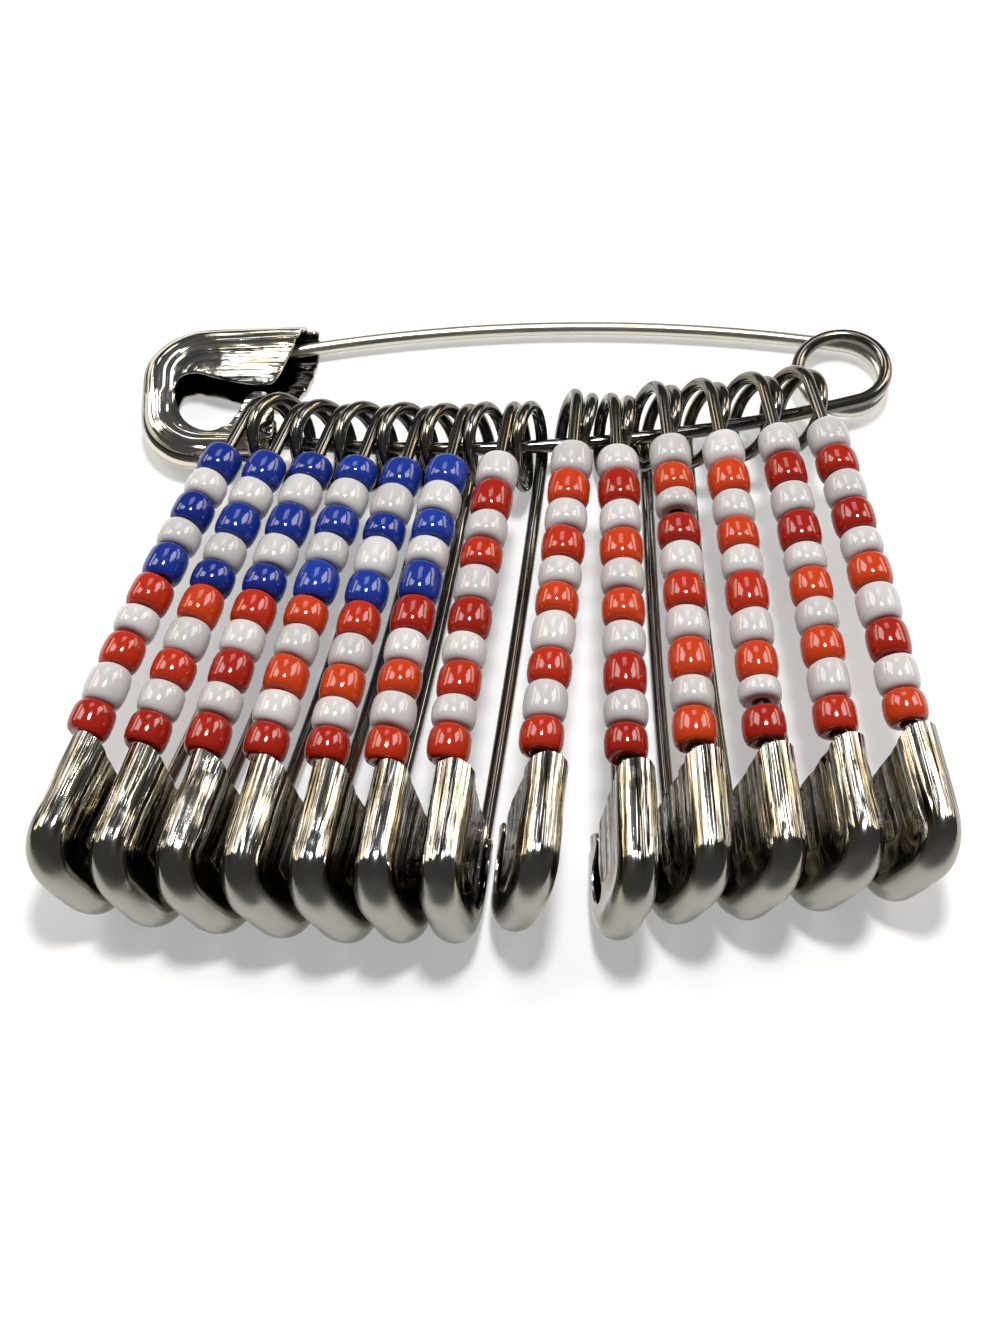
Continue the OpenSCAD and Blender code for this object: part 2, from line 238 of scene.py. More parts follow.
def sweep(line, radii, seed):
    """A round wire along a line, with its own wander of a few microns, UVs along in centimetres."""
    rng = random.Random(seed)
    phases = [rng.uniform(*ANY_PHASE) for _ in range(2)]
    tangent = np.gradient(line, axis=0)
    tangent /= np.linalg.norm(tangent, axis=1)[:, None]
    normal = np.array([0.0, 0.0, 1.0])
    along = np.concatenate([[0], np.cumsum(np.linalg.norm(np.diff(line, axis=0), axis=1))])
    verts, uvs, faces = [], [], []
    for i, (p, t, r) in enumerate(zip(line, tangent, radii)):
        normal = normal - t * normal.dot(t)
        normal /= np.linalg.norm(normal)
        side = np.cross(t, normal)
        fast = math.sin(along[i] * WANDER_FAST + phases[0])
        slow = math.sin(along[i] * WANDER_SLOW + phases[1])
        swell = 1 + WANDER * fast * slow
        for k in range(SIDES):
            a = 2 * math.pi * k / SIDES
            verts.append(p + (normal * math.cos(a) + side * math.sin(a)) * r * swell)
            uvs.append((along[i] / 10, k / SIDES))
    for i in range(len(line) - 1):
        for k in range(SIDES):
            a, b = i * SIDES + k, i * SIDES + (k + 1) % SIDES
            faces.append((a, b, b + SIDES, a + SIDES))
    faces.append(tuple(range(SIDES))[::-1])
    last = (len(line) - 1) * SIDES
    faces.append(tuple(range(last, last + SIDES)))
    return verts, faces, uvs, {}, []


# Caps: side view of the sheet on a cap 11 long and 11 wide, from the end back to the mouth
OUTLINE = [
    (-1, 6), (11.4, 6), (11, 5.2), (9.2, 0.7), (8.7, 0.3), (7.6, 0.4), (6.1, 0.7), (5, 1.1),
    (4, 1.5), (3.2, 1.5), (2.6, 1.1), (2.3, 0.2), (2.4, -0.8), (2.7, -1.8), (3.2, -2.7),
    (3.9, -3.3), (4.8, -3.5), (5.7, -3.3), (6.4, -2.6), (6.9, -1.7), (7.2, -0.8), (7.6, -0.4),
    (8.3, -0.4), (8.8, -0.8), (9, -2), (8.9, -3.6), (8.4, -6), (-1, -6),
]
# the large cap's lower side reaches further under its guard
LOWER_OUTLINE = [
    (-1, 6), (11.9, 6), (11.9, 5), (11.7, 3.4), (11.2, 1.7), (10.5, 0.7), (9.7, 0), (8.7, -0.1),
    (7.6, 0.3), (6.1, 0.7), (5, 1.1),
] + OUTLINE[8:]
# the small caps close further over their sides
SMALL_OUTLINE = [
    (-1, 6), (11.4, 6), (11, 5.2), (9.6, 1.6), (9.1, -0.6), (8.4, -1.3), (7, -1.5), (5.8, -1.5),
    (4.8, -1.2), (3.8, -1), (3.1, -1.3), (2.7, -2), (3, -2.9), (3.8, -3.5), (4.8, -3.7),
    (6, -3.6), (7.2, -3), (8, -2.6), (8.6, -2.7), (8.9, -3.4), (8.9, -4.2), (8.4, -6), (-1, -6),
]
OUTLINE_SIZE = 11
# the sheet is planned from this far before its mouth
BEFORE_MOUTH = 1.5
# the rolled edge sinks to the flat side over this width
ROLL_OFF = 0.8
# rounded rim: share of the way through the sheet, and how far it stands out there, in walls
RIM = ((0.22, 0.24), (0.5, 0.32), (0.78, 0.24))
# about how far apart a cap's points are
CAP_STEP = 0.4
# waves that make up the draw creases: size, and count over the roll
WAVE_SIZE, WAVE_COUNT = (0.4, 1.0), (1.6, 6.0)
# how they slant along x, how the two edges differ, and how their sum is scaled and cut off
CREASE_SLANT, EDGE_PHASE, CREASE_GAIN, CREASE_LOW, CREASE_HIGH = 0.12, 2, 2.2, -1.6, 1.0
# dents: number, reach to either side as a share of the width, radius, and height
DENTS, DENT_REACH, DENT_RADIUS, DENT_HEIGHT = 24, 0.45, (0.4, 1.4), (-0.09, 0.05)
# from where to where, past the corner's start, the creases and the draw lines fade
CREASE_FADE, LINE_FADE = (-0.6, 1.0), (-0.9, 1.3)
# from where to where, past the cap's end, the matt end begins
MATT_START = (-1.75, -0.75)
# how far that wanders along x, and how fast with height
FADE_WANDER, FADE_TURN = 0.35, 1.1


def rounded(points, rounds=2):
    """Corner cutting, which keeps the first and the last two points, outside the cap."""
    for _ in range(rounds):
        out = [points[0], points[1]]
        for a, b in zip(points[1:-2], points[2:-1]):
            out.append((0.75 * a[0] + 0.25 * b[0], 0.75 * a[1] + 0.25 * b[1]))
            out.append((0.25 * a[0] + 0.75 * b[0], 0.25 * a[1] + 0.75 * b[1]))
        points = out + [points[-2], points[-1]]
    return points


def inside_polygon(p, polygon):
    x, y = p
    hit = False
    for (x0, y0), (x1, y1) in zip(polygon, polygon[1:] + polygon[:1]):
        if (y0 > y) != (y1 > y) and x < (x1 - x0) * (y - y0) / (y1 - y0) + x0:
            hit = not hit
    return hit


class CapPlan:
    """Flat triangulation of one side of a cap, denser over its rolled edge."""

    def __init__(self, pin, outline, step):
        self.pin = pin
        r = pin.thick / 2
        self.corner = CORNER_SHARE * pin.cap_w
        self.corner_x = pin.end - self.corner
        self.bar = pin.cap_w / 2 - self.corner
        self.start = pin.mouth_x - BEFORE_MOUTH
        cut = [
            (pin.end - q * pin.cap_l / OUTLINE_SIZE, y * pin.cap_w / OUTLINE_SIZE)
            for q, y in outline
        ]
        depths = [r * (1 - math.cos(math.radians(a))) for a in range(0, 91, 6)]
        depths += [r + past for past in (0.12, 0.25, 0.4, 0.6, 0.85)]
        points, edges = [], []

        def add_line(loop, closed):
            first = len(points)
            points.extend(loop)
            edges.extend((first + i, first + i + 1) for i in range(len(loop) - 1))
            if closed:
                edges.append((len(points) - 1, first))

        dense = []
        for a, b in zip(cut, cut[1:] + cut[:1]):
            n = max(1, int(math.dist(a, b) / (step * 0.8)))
            dense += [
                (a[0] + (b[0] - a[0]) * k / n, a[1] + (b[1] - a[1]) * k / n) for k in range(n)
            ]
        add_line(dense, True)
        for d in depths:
            add_line(self.contour(d, step), False)
        inner = depths[-1] + step
        xs = np.arange(self.start, pin.end - inner, step * 1.2)
        ys = np.arange(-pin.cap_w / 2 + inner, pin.cap_w / 2 - inner, step * 1.2)
        for i, x in enumerate(xs):
            points.extend((x, y + (i % 2) * step * 0.6) for y in ys)
        co, _, tris, *_ = delaunay_2d_cdt([Vector(p) for p in points], edges, [], 0, 1e-5)
        co = [tuple(c) for c in co]
        keep = []
        for t in tris:
            m = (sum(co[i][0] for i in t) / 3, sum(co[i][1] for i in t) / 3)
            if self.depth(*m) > 1e-4 and m[0] > self.start and inside_polygon(m, cut):
                a, b, c = (co[i] for i in t)
                if abs((b[0] - a[0]) * (c[1] - a[1]) - (c[0] - a[0]) * (b[1] - a[1])) > 1e-7:
                    keep.append(tuple(t))
        used = sorted({i for t in keep for i in t})
        place = {old: new for new, old in enumerate(used)}
        self.points = [co[i] for i in used]
        self.faces = [tuple(place[i] for i in t) for t in keep]

    def contour(self, d, step):
        """Line on the side of the cap at a depth inward from its outline, round the closed end."""
        w = self.pin.cap_w / 2 - d
        turn = self.corner - d
        n = max(2, int((self.corner_x - self.start) / step))
        side = [(x, w) for x in np.linspace(self.start, self.corner_x, n)]
        m = max(3, int(self.corner * math.pi / 2 / step))
        bend = [
            (self.corner_x + turn * math.sin(a), self.bar + turn * math.cos(a))
            for a in np.linspace(0, math.pi / 2, m)
        ][1:]
        k = max(2, int(2 * self.bar / step))
        end = [(self.corner_x + turn, y) for y in np.linspace(self.bar, -self.bar, k)][1:-1]
        half = side + bend
        return half + end + [(x, -y) for x, y in reversed(half)]

    def depth(self, x, y):
        """Distance inward from the outline of the rolled edge."""
        w = self.pin.cap_w / 2
        if x <= self.corner_x:
            return w - abs(y)
        if abs(y) > self.bar:
            return self.corner - math.hypot(x - self.corner_x, abs(y) - self.bar)
        return min(self.corner - (x - self.corner_x), w - abs(y) + self.corner)

    def height(self, d):
        """Height of the sheet's outer face above the middle plane at a depth."""
        r = self.pin.thick / 2
        flat = self.pin.flat / 2 + self.pin.wall
        if d <= 0:
            return 0.0
        if d < r:
            return math.sqrt(r * r - (r - d) ** 2)
        if d < r + ROLL_OFF:
            return flat + (r - flat) * (0.5 + 0.5 * math.cos(math.pi * (d - r) / ROLL_OFF))
        return flat


def smooth(value, low, high):
    """0 below low, 1 above high, and a soft ramp between them."""
    t = max(0.0, min(1.0, (value - low) / (high - low)))
    return t * t * (3 - 2 * t)


def cap_mesh(top, bottom, seed, crease=0.06, lines=5, dent=1.0, matt=1.0):
    """Folded sheet: both sides, their inside faces and a rounded rim round every cut edge.

    crease is the depth of the draw creases and lines the number of waves in them, dent scales the
    dents, and matt is 1 for a plain end without draw lines or 0 for none."""
    pin, rng = top.pin, random.Random(seed)
    verts, uvs, rounds, key = [], [], [], {}
    waves = [
        (rng.uniform(*WAVE_SIZE), rng.uniform(*WAVE_COUNT), rng.uniform(*ANY_PHASE))
        for _ in range(lines)
    ]
    dents = [
        (rng.uniform(pin.mouth_x, pin.end), rng.uniform(-1, 1) * pin.cap_w * DENT_REACH,
         rng.uniform(*DENT_RADIUS), rng.uniform(*DENT_HEIGHT) * dent)
        for _ in range(DENTS)
    ]
    r = pin.thick / 2
    outer_faces = []
    for side, plan in ((1, top), (-1, bottom)):
        index = []
        for x, y in plan.points:
            d = plan.depth(x, y)
            z = side * plan.height(d)
            if d < 2e-3:
                z = 0.0
            spot = (round(x, 4), round(y, 4), round(z, 4))
            if spot not in key:
                key[spot] = len(verts)
                verts.append((x, y, z))
                around = math.pi / 2 + (d - r) / r
                if d < r:
                    around = math.acos(max(-1, min(1, (r - d) / r)))
                uvs.append((x / 10, side * (around / math.pi)))
                rounds.append(side * around)
            index.append(key[spot])
        for t in plan.faces:
            tri = tuple(index[i] for i in t)
            if len(set(tri)) == 3:
                a, b, c = (np.array(verts[i]) for i in tri)
                up = np.cross(b - a, c - a)[2] * side > 0
                outer_faces.append(tri if up else tri[::-1])
    points = np.array(verts)
    tri = np.array(outer_faces)

    def vertex_normals(p):
        face = np.cross(p[tri[:, 1]] - p[tri[:, 0]], p[tri[:, 2]] - p[tri[:, 0]])
        n = np.zeros_like(p)
        for k in range(3):
            np.add.at(n, tri[:, k], face)
        return n / np.maximum(np.linalg.norm(n, axis=1), 1e-12)[:, None]

    normals = vertex_normals(points)
    # lengthwise draw creases over the rolled edges, and shallow dents everywhere
    shift = np.zeros(len(points))
    for i, (x, y, z) in enumerate(points):
        faded = smooth(x, top.corner_x + CREASE_FADE[0], top.corner_x + CREASE_FADE[1])
        drawn = 1 - (0.5 + 0.4 * matt) * faded
        wave = 0.0
        for size, turns, phase in waves:
            turned = 2 * turns * rounds[i] + phase + CREASE_SLANT * x
            wave += size * math.sin(turned + (EDGE_PHASE if y > 0 else 0))
        height = max(CREASE_LOW, min(CREASE_HIGH, wave / lines * CREASE_GAIN))
        shift[i] = crease * drawn * height - crease
        for dx, dy, dr, tall in dents:
            shift[i] += tall * math.exp(-((x - dx) ** 2 + (y - dy) ** 2) / (dr * dr))
    points = points + normals * shift[:, None]
    normals = vertex_normals(points)
    count = len(points)
    inner = points - normals * pin.wall
    edges = dict.fromkeys(pair for t in outer_faces for pair in zip(t, t[1:] + t[:1]))
    rim = [(a, b) for a, b in edges if (b, a) not in edges]
    bulge, extra, extra_uv = {}, [], []
    out_dir = np.zeros_like(points)
    for a, b in rim:
        t = points[b] - points[a]
        n = normals[a] + normals[b]
        o = np.cross(t, n)
        o /= max(np.linalg.norm(o), 1e-9)
        out_dir[a] += o
        out_dir[b] += o
    for v in sorted({i for e in rim for i in e}):
        o = out_dir[v] / max(np.linalg.norm(out_dir[v]), 1e-9)
        for k, (share, push) in enumerate(RIM):
            bulge[(v, k)] = 2 * count + len(extra)
            extra.append(points[v] * (1 - share) + inner[v] * share + o * pin.wall * push)
            extra_uv.append(uvs[v])
    faces = outer_faces + [tuple(i + count for i in reversed(t)) for t in outer_faces]
    sharp = []
    for a, b in rim:
        chain_a = [a, bulge[(a, 0)], bulge[(a, 1)], bulge[(a, 2)], a + count]
        chain_b = [b, bulge[(b, 0)], bulge[(b, 1)], bulge[(b, 2)], b + count]
        for k in range(4):
            faces.append((chain_b[k], chain_a[k], chain_a[k + 1], chain_b[k + 1]))
        sharp += [frozenset((a, b)), frozenset((a + count, b + count))]
    all_points = np.concatenate([points, inner, np.array(extra)])
    # inside is 1 on the inner faces and 0.25 on the rim; the cap's material paints these dark as
    # painted shade
    inside = [0.0] * count + [1.0] * count + [0.25] * len(extra)
    # plain is the matt end, and bare is where the draw lines and their painted bands have faded
    wavy = [p[0] + FADE_WANDER * math.sin(FADE_TURN * abs(p[2]) + seed) for p in all_points]
    plain = [matt * smooth(x, pin.end + MATT_START[0], pin.end + MATT_START[1]) for x in wavy]
    bare = [
        matt * smooth(x, top.corner_x + LINE_FADE[0], top.corner_x + LINE_FADE[1]) for x in wavy
    ]
    marks = {"inside": inside, "plain": plain, "bare": bare}
    return all_points, faces, uvs + uvs + extra_uv, marks, sharp


# Beads. Facets round and along, and the plain lip round the hole.
BEAD_SIDES, BEAD_RINGS, BEAD_LIP = 36, 18, 0.16
# edge of the hole at either end: out from the hole, in from the end
HOLE_EDGE = ((0, 0.2), (0, 0.09), (0.05, 0.02))
# the glass shows this much longer than its solid
BEAD_SWELL = 0.05
# how far the ends slant, how thick a bead is for its size, and how the reds vary about a tone
END_SLANT, PLUMP, TONE_SPREAD = 0.09, (0.965, 0.995), 0.08
# millimetres in one step of a bead's UVs, and steps in one turn round it
BEAD_UV = 3


def bead_mesh(length, start_cut, end_cut, seed, plump):
    """One cut glass barrel about z: rounded shoulders, slanted ends, drilled through."""
    rng = random.Random(seed)
    r, hole, half = BEAD_D / 2 * plump, BEAD_HOLE / 2, length / 2
    lip = hole + BEAD_LIP
    # lower is squarer
    power = rng.uniform(0.5, 0.62)
    profile = [(hole + out, up - half) for out, up in HOLE_EDGE]
    for k in range(BEAD_RINGS + 1):
        t = math.pi * (k / BEAD_RINGS - 0.5)
        out = max(0.0, math.cos(t)) ** power
        up = math.copysign(abs(math.sin(t)) ** (power + 0.22), math.sin(t))
        profile.append((lip + (r - lip) * out, half * up))
    profile += [(hole + out, half - up) for out, up in reversed(HOLE_EDGE)]
    # slightly oval and three-cornered
    oval, turn, three = rng.uniform(0.0, 0.02), rng.uniform(*ANY_PHASE), rng.uniform(0, 0.01)
    verts, uvs, faces = [], [], []
    for rad, z in profile:
        for k in range(BEAD_SIDES):
            a = 2 * math.pi * k / BEAD_SIDES
            grow = 1 - oval - three + oval * math.cos(2 * a + turn) + three * math.cos(3 * a - turn)
            rr = rad * (grow if rad > lip else 1)
            x, y = rr * math.cos(a), rr * math.sin(a)
            cut = end_cut if z > 0 else start_cut
            lift = abs(z / half) ** 2 * (cut[0] * x + cut[1] * y)
            verts.append((x, y, z + lift))
            uvs.append((k / BEAD_SIDES * BEAD_UV, z / BEAD_UV))
    rows = len(profile)
    for i in range(rows):
        for k in range(BEAD_SIDES):
            a, b = i * BEAD_SIDES + k, i * BEAD_SIDES + (k + 1) % BEAD_SIDES
            j = ((i + 1) % rows - i) * BEAD_SIDES
            faces.append((a, b, b + j, a + j))
    return verts, faces, uvs


# how orange each red bead is, from the coil down: d deep, m middle, o orange
RED_TONES = [
    "mmd", "omd", "mdd", "ood", "mod", "dom", "dmdmm", "omomm", "doodd", "odmoo", "oomod",
    "ddoom", "ddodo",
]
TONE = {"d": 0.1, "m": 0.5, "o": 0.92}
# beads shorter than their place, where bare wire shows: (pin, bead): share of the length
SHORT_BEADS = {(9, 2): 0.74, (10, 8): 0.74}


def join(store, more):
    """Adds points, faces, UVs and tones to a store of the same."""
    first = len(store[0])
    store[0].extend(more[0])
    store[1].extend(tuple(v + first for v in face) for face in more[1])
    store[2].extend(more[2])
    store[3].extend(more[3])


def bead_row(n):
    """Meshes of one pin's beads by colour letter: points, faces, UVs and tones."""
    rng = random.Random(100 + n)
    cut = BEAD_CUT[n]
    room = SMALL.mouth_x - BEAD_END - BEAD_START
    unit = (room - (len(cut) - 1) * BEAD_GAP) / sum(cut)
    slants = [
        (rng.uniform(-END_SLANT, END_SLANT), rng.uniform(-END_SLANT, END_SLANT))
        for _ in range(len(cut) + 1)
    ]
    row = CORNER_ROW if n < CORNER_PINS else STRIPE_ROW
    lay, reds, found = lay_pin(n), iter(RED_TONES[n]), {}
    x = BEAD_START
    for i, letter in enumerate(row):
        length = cut[i] * unit
        middle = x + length / 2
        x += length + BEAD_GAP
        grow = SHORT_BEADS.get((n, i), 1.0)
        shift = -(1 - grow) * length / 2
        if letter == "r":
            tone = TONE[next(reds)] + rng.uniform(-TONE_SPREAD, TONE_SPREAD)
        else:
            tone = rng.random()
        verts, faces, uvs = bead_mesh(
            length * grow + BEAD_SWELL, slants[i], slants[i + 1], 1000 + 10 * n + i,
            rng.uniform(*PLUMP),
        )
        place = (
            lay @ move(middle + shift, SMALL.arm_y(middle), SMALL.arm_z)
            @ Matrix.Rotation(SMALL.slope(middle), 4, "Z") @ rot("Y", 90)
            @ rot("Z", rng.uniform(0, 360))
        )
        m = np.array(place)
        offset = rng.uniform(0, 20)
        join(found.setdefault(letter, ([], [], [], [])), (
            np.asarray(verts) @ m[:3, :3].T + m[:3, 3], faces,
            [(u + offset, v + offset) for u, v in uvs], [tone] * len(verts),
        ))
    return found


# Materials
def new_material(name):
    """A node material, its tree and its shader."""
    mat = bpy.data.materials.new(name)
    mat.use_nodes = True
    tree = mat.node_tree
    bsdf = tree.nodes["Principled BSDF"]
    return mat, tree, bsdf


def node(tree, kind, **values):
    """A new shader node with its inputs or settings."""
    n = tree.nodes.new(kind)
    for key, value in values.items():
        if key in n.inputs:
            n.inputs[key].default_value = value
        else:
            setattr(n, key, value)
    return n


def ramp(tree, stops):
    """A colour ramp from (position, colour) pairs."""
    n = tree.nodes.new("ShaderNodeValToRGB")
    while len(n.color_ramp.elements) < len(stops):
        n.color_ramp.elements.new(0.5)
    for element, (at, colour) in zip(n.color_ramp.elements, stops):
        element.position = at
        element.color = (*colour, 1)
    return n


def streaks(tree, along, across, detail=4):
    """Noise drawn out along the UV's first direction."""
    uv = node(tree, "ShaderNodeUVMap", uv_map="UVMap")
    scale = node(tree, "ShaderNodeMapping")
    scale.inputs["Scale"].default_value = (along, across, 1)
    noise = node(tree, "ShaderNodeTexNoise", Scale=1.0, Detail=float(detail), Roughness=0.55)
    tree.links.new(uv.outputs["UV"], scale.inputs["Vector"])
    tree.links.new(scale.outputs["Vector"], noise.inputs["Vector"])
    return noise


def map_range(tree, source, low, high):
    """Carries 0..1 over to low..high."""
    n = node(tree, "ShaderNodeMapRange")
    n.inputs["To Min"].default_value = low
    n.inputs["To Max"].default_value = high
    tree.links.new(source, n.inputs["Value"])
    return n.outputs["Result"]


def blend(tree, factor, a, b, kind="MIX"):
    """Mixes a linked colour with a plain one."""
    n = node(tree, "ShaderNodeMix", data_type="RGBA", blend_type=kind)
    tree.links.new(factor, n.inputs["Factor"])
    tree.links.new(a, n.inputs["A"])
    n.inputs["B"].default_value = (*b, 1)
    return n.outputs["Result"]


def bump(tree, height, depth, below=None):
    """Relief of a depth in millimetres, over another relief."""
    n = node(tree, "ShaderNodeBump", Strength=1.0, Distance=depth * MM)
    tree.links.new(height, n.inputs["Height"])
    if below:
        tree.links.new(below.outputs["Normal"], n.inputs["Normal"])
    return n


def position_noise(tree, scale, detail):
    """Noise that is the same in every direction, by the place in space."""
    place = node(tree, "ShaderNodeNewGeometry")
    noise = node(tree, "ShaderNodeTexNoise", Scale=scale, Detail=detail)
    tree.links.new(place.outputs["Position"], noise.inputs["Vector"])
    return noise.outputs["Fac"]


def wire_metal(name, dark, light, warm, rough):
    """Nickel wire: drawn streaks in colour, roughness and height, a warm tarnish in patches."""
    mat, tree, bsdf = new_material(name)
    links = tree.links
    lines = streaks(tree, 1.2, 9).outputs["Fac"]
    colour = ramp(tree, [(0.3, dark), (0.7, light)])
    links.new(lines, colour.inputs["Fac"])
    share = ramp(tree, [(0.44, (0, 0, 0)), (0.64, (0.8, 0.8, 0.8))])
    links.new(position_noise(tree, 420.0, 3.0), share.inputs["Fac"])
    tarnished = blend(tree, share.outputs["Color"], colour.outputs["Color"], warm)
    links.new(tarnished, bsdf.inputs["Base Color"])
    bsdf.inputs["Metallic"].default_value = 1.0
    links.new(map_range(tree, lines, *rough), bsdf.inputs["Roughness"])
    links.new(bump(tree, lines, 0.006).outputs["Normal"], bsdf.inputs["Normal"])
    return mat


def cap_metal(name, painted_band_levels, across, relief):
    """Nickel sheet: draw lines in relief along the sides, coloured as black and bright bands of
    painted reflection and shade, a plain matt end, and an inside painted dark as painted shade.

    The band levels are (position, level) pairs of these painted bands, and relief is the lines'
    height in millimetres."""
    mat, tree, bsdf = new_material(name)
    links = tree.links
    inside, plain, bare = (
        node(tree, "ShaderNodeAttribute", attribute_name=word).outputs["Fac"]
        for word in ("inside", "plain", "bare")
    )
    lines = streaks(tree, 0.7, across, 3).outputs["Fac"]
    # the lines' colour runs from near black to bright: painted reflection and shade bands, over the
    # real relief of the bump below
    colour = ramp(tree, [(at, (level, level * 0.975, level * 0.92)) for at, level in painted_band_levels])
    # where the draw lines have faded, the painted bands even out to the ramp's middle level
    even = node(tree, "ShaderNodeMix", data_type="FLOAT")
    links.new(bare, even.inputs["Factor"])
    links.new(lines, even.inputs["A"])
    even.inputs["B"].default_value = 0.5
    links.new(even.outputs["Result"], colour.inputs["Fac"])
    share = ramp(tree, [(0.46, (0, 0, 0)), (0.60, (0.85, 0.85, 0.85))])
    links.new(streaks(tree, 3.0, 4.5, 3).outputs["Fac"], share.inputs["Fac"])
    gold = blend(
        tree, share.outputs["Color"], colour.outputs["Color"], (1.0, 0.87, 0.63), "MULTIPLY"
    )
    end = blend(tree, plain, gold, (0.36, 0.35, 0.315))
    # the inner faces and the rim are painted near black: painted shade inside the folded sheet
    links.new(blend(tree, inside, end, (0.03, 0.028, 0.025)), bsdf.inputs["Base Color"])
    bsdf.inputs["Metallic"].default_value = 1.0
    links.new(map_range(tree, plain, 0.10, 0.34), bsdf.inputs["Roughness"])
    drawn = bump(tree, lines, relief)
    links.new(map_range(tree, bare, 1.0, 0.05), drawn.inputs["Strength"])
    pits = bump(tree, position_noise(tree, 1500.0, 4.0), 0.008, drawn)
    links.new(pits.outputs["Normal"], bsdf.inputs["Normal"])
    return mat


def glass(name, stops, rough, soft=None):
    """Opaque glass: tone per bead, faint drawn lines and clouds, a clear hard skin.

    soft is the reach of light under the skin by colour."""
    mat, tree, bsdf = new_material(name)
    links = tree.links
    tone = node(tree, "ShaderNodeAttribute", attribute_name="tone")
    colour = ramp(tree, stops)
    lines = streaks(tree, 26, 1.2).outputs["Fac"]
    # the lines move a bead's tone up to 0.08 either way
    clouds = node(tree, "ShaderNodeMath", operation="MULTIPLY_ADD")
    links.new(lines, clouds.inputs[0])
    clouds.inputs[1].default_value = 0.16
    shifted = node(tree, "ShaderNodeMath", operation="ADD")
    links.new(tone.outputs["Fac"], shifted.inputs[0])
    shifted.inputs[1].default_value = -0.08
    links.new(shifted.outputs["Value"], clouds.inputs[2])
    links.new(clouds.outputs["Value"], colour.inputs["Fac"])
    links.new(colour.outputs["Color"], bsdf.inputs["Base Color"])
    links.new(map_range(tree, lines, *rough), bsdf.inputs["Roughness"])
    bsdf.inputs["IOR"].default_value = 1.52
    if soft:
        bsdf.inputs["Subsurface Weight"].default_value = 0.35
        bsdf.inputs["Subsurface Radius"].default_value = soft
        bsdf.inputs["Subsurface Scale"].default_value = 0.5 * MM
    skin = bump(tree, position_noise(tree, 900.0, 2.0), 0.004)
    grooves = bump(tree, lines, 0.0015, skin)
    links.new(grooves.outputs["Normal"], bsdf.inputs["Normal"])
    return mat


# the plain wire's base colour is kept dark as painted shade: it stands in for dark surroundings
# seen in its reflections
WIRE = wire_metal("nickel_wire", (0.10, 0.097, 0.09), (0.22, 0.215, 0.205), (0.20, 0.17, 0.12),
                  (0.10, 0.20))
BRIGHT_WIRE = wire_metal("needle_wire", (0.48, 0.465, 0.41), (0.74, 0.72, 0.64),
                         (0.66, 0.60, 0.46), (0.22, 0.36))
# the caps' band levels run from near black to bright: painted reflection and shade
CAP = cap_metal("nickel_cap", [(0.38, 0.015), (0.47, 0.20), (0.60, 0.72)], 9, 0.14)
MAIN_CAP = cap_metal("nickel_guard", [(0.32, 0.03), (0.40, 0.40), (0.60, 0.74)], 6, 0.075)
WHITE = glass("white_bead", [(0.0, (0.46, 0.440, 0.436)), (1.0, (0.56, 0.540, 0.535))],
              (0.06, 0.14), (1.0, 0.8, 0.7))
RED = glass("red_bead", [(0.0, (0.27, 0.010, 0.005)), (0.5, (0.38, 0.021, 0.006)),
                         (1.0, (0.47, 0.042, 0.008))], (0.05, 0.12))
BLUE = glass("blue_bead", [(0.0, (0.006, 0.017, 0.165)), (1.0, (0.011, 0.036, 0.27))],
             (0.05, 0.12))

# The pieces of the large pin
add_piece("needle_shaft", sweep(*half_path(MAIN, True), 1), LAY_MAIN, BRIGHT_WIRE, "needle",
          "main_needle")
line, radii = half_path(MAIN, False)
add_piece("spine_shaft", sweep(flipped(line), radii, 2), LAY_MAIN, WIRE, "root", "main_spine")
main_plan = CapPlan(MAIN, rounded(OUTLINE), CAP_STEP)
lower_plan = CapPlan(MAIN, rounded(LOWER_OUTLINE), CAP_STEP)
add_piece("main_cap_sheet", cap_mesh(lower_plan, main_plan, 5, crease=0.08, dent=1.6, matt=0),
          LAY_MAIN, MAIN_CAP, "root", "main_cap")

# The pieces of the small pins
small_plan = CapPlan(SMALL, rounded(SMALL_OUTLINE), CAP_STEP)
point_line, point_radii = half_path(SMALL, True)
blunt_line, blunt_radii = half_path(SMALL, False)
small_line = np.concatenate([flipped(blunt_line)[::-1], point_line[1:]])
small_radii = np.concatenate([blunt_radii[::-1], point_radii[1:]])
blue = ([], [], [], [])
for n in range(len(PIN_LIE)):
    lay, tag = lay_pin(n), f"pin{n + 1}"
    add_piece(tag + "_bent_wire", sweep(small_line, small_radii, 20 + n), lay, WIRE, "root",
              tag + "_wire")
    add_piece(tag + "_cap_sheet", cap_mesh(small_plan, small_plan, 40 + n), lay, CAP, "root",
              tag + "_cap")
    row = bead_row(n)
    for letter, word, glass_mat in (("w", "white", WHITE), ("r", "red", RED)):
        verts, faces, uvs, tones = row[letter]
        add_piece(f"{tag}_{word}_glass", (verts, faces, uvs, {"tone": tones}, []),
                  Matrix.Identity(4), glass_mat, "root", f"{tag}_{word}")
    if "b" in row:
        join(blue, row["b"])
add_piece("blue_glass", (*blue[:3], {"tone": blue[3]}, []), Matrix.Identity(4), BLUE, "root",
          "blue_beads")

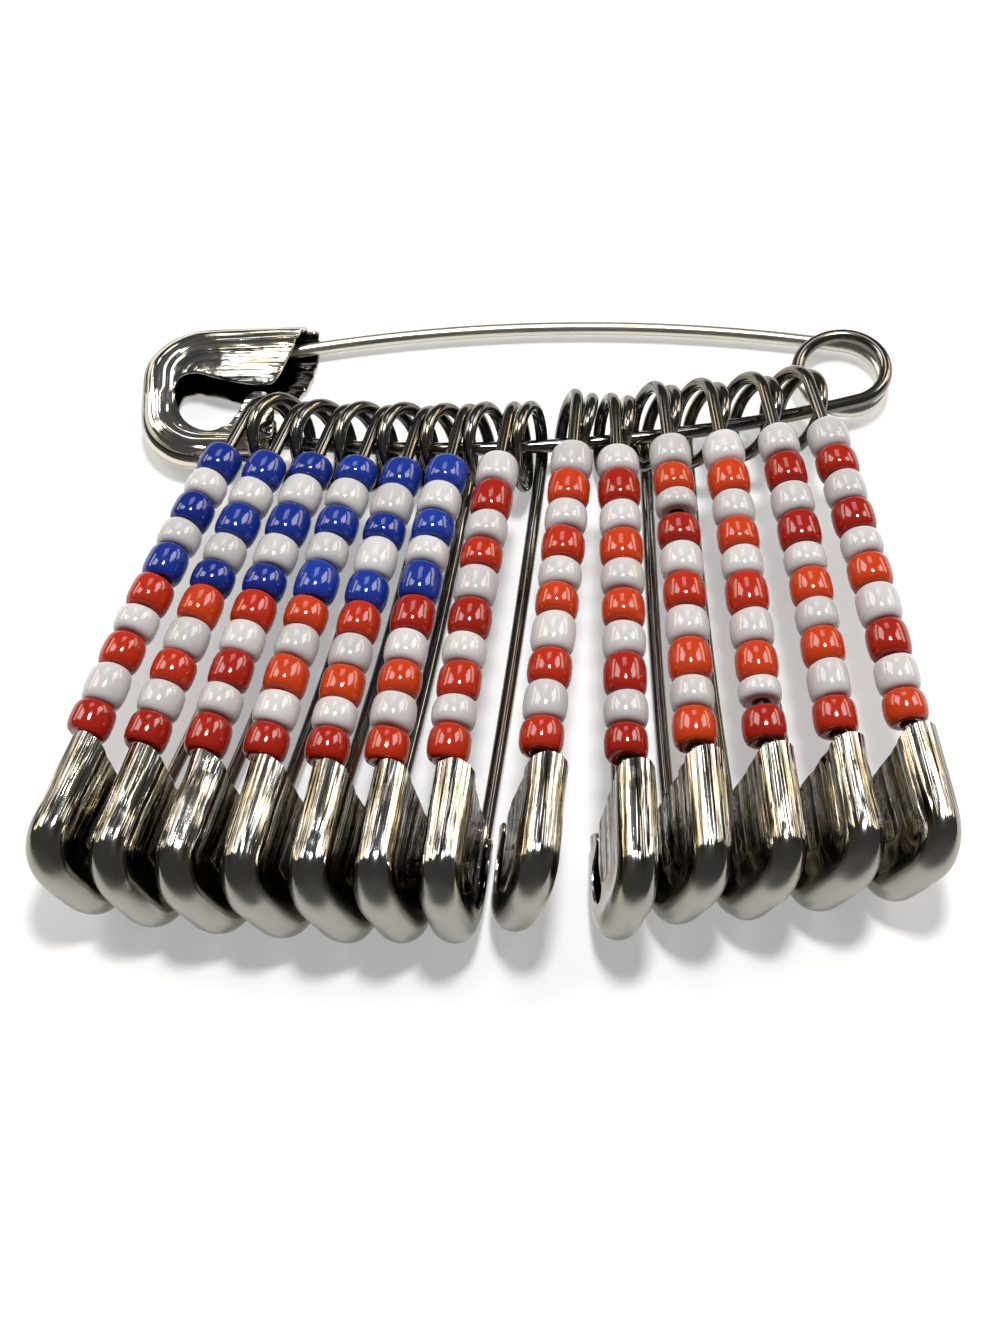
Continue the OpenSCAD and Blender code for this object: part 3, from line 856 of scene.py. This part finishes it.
# Floor, lamps and camera, in metres but for CAMERA_AT. The floor glows, to keep shadows light.
TABLE_HALF, TABLE_BELOW, TABLE_GLOW = 1.5, 0.00002, 0.36
mat, tree, bsdf = new_material("table")
paper = ramp(tree, [(0.3, (0.60, 0.60, 0.60)), (0.7, (0.64, 0.64, 0.635))])
tree.links.new(position_noise(tree, 60.0, 5.0), paper.inputs["Fac"])
tree.links.new(paper.outputs["Color"], bsdf.inputs["Base Color"])
bsdf.inputs["Roughness"].default_value = 0.7
bsdf.inputs["Emission Color"].default_value = (1, 1, 1, 1)
bsdf.inputs["Emission Strength"].default_value = TABLE_GLOW
mesh = bpy.data.meshes.new("table")
corners = [(x * TABLE_HALF, y * TABLE_HALF, 0) for x, y in ((-1, -1), (1, -1), (1, 1), (-1, 1))]
mesh.from_pydata(corners, [], [(0, 1, 2, 3)])
table = bpy.data.objects.new("table", mesh)
table.location.z = -TABLE_BELOW
bpy.context.scene.collection.objects.link(table)
mesh.materials.append(mat)


def lamp(name, at, size, power, colour=(1, 1, 1), shape="RECTANGLE"):
    """An area light of a power in watts that looks at the brooch."""
    data = bpy.data.lights.new(name, "AREA")
    data.shape, data.size, data.size_y = shape, size[0], size[1]
    data.energy, data.color = power, colour
    light = bpy.data.objects.new(name, data)
    bpy.context.scene.collection.objects.link(light)
    light.location = at
    light.rotation_euler = (-Vector(at)).to_track_quat("-Z", "Y").to_euler()


GOLDEN = (1, 0.86, 0.62)
lamp("ceiling_lamp", (0.016, 0.065, 0.292), (0.055, 0.055), 0.74, shape="DISK")
lamp("back_panel", (-0.02, 0.34, 0.42), (0.16, 0.14), 0.22)
lamp("left_panel", (-0.33, 0.225, 0.385), (0.18, 0.22), 0.78)
lamp("right_panel", (0.34, 0.215, 0.37), (0.16, 0.20), 0.68)
lamp("left_glow", (-0.46, 0.29, 0.20), (0.30, 0.12), 0.55, GOLDEN)
lamp("right_glow", (0.46, 0.29, 0.20), (0.30, 0.12), 0.55, GOLDEN)

world = bpy.data.worlds.new("room")
bpy.context.scene.world = world
world.use_nodes = True
background = world.node_tree.nodes["Background"]
background.inputs["Color"].default_value = (1, 1, 1, 1)
background.inputs["Strength"].default_value = 0.10
bpy.context.scene.view_settings.view_transform = "Standard"

# place in millimetres, and tilt up from straight down in degrees
CAMERA_AT, CAMERA_TILT = (0.19, -66.94, 109.64), 30
camera_data = bpy.data.cameras.new("camera")
camera_data.sensor_fit, camera_data.sensor_height, camera_data.lens = "VERTICAL", 24, 36.0
camera_data.clip_start, camera_data.clip_end = 0.005, 10
camera = bpy.data.objects.new("camera", camera_data)
bpy.context.scene.collection.objects.link(camera)
camera.location = [v * MM for v in CAMERA_AT]
camera.rotation_euler = (math.radians(CAMERA_TILT), 0, 0)
bpy.context.scene.camera = camera
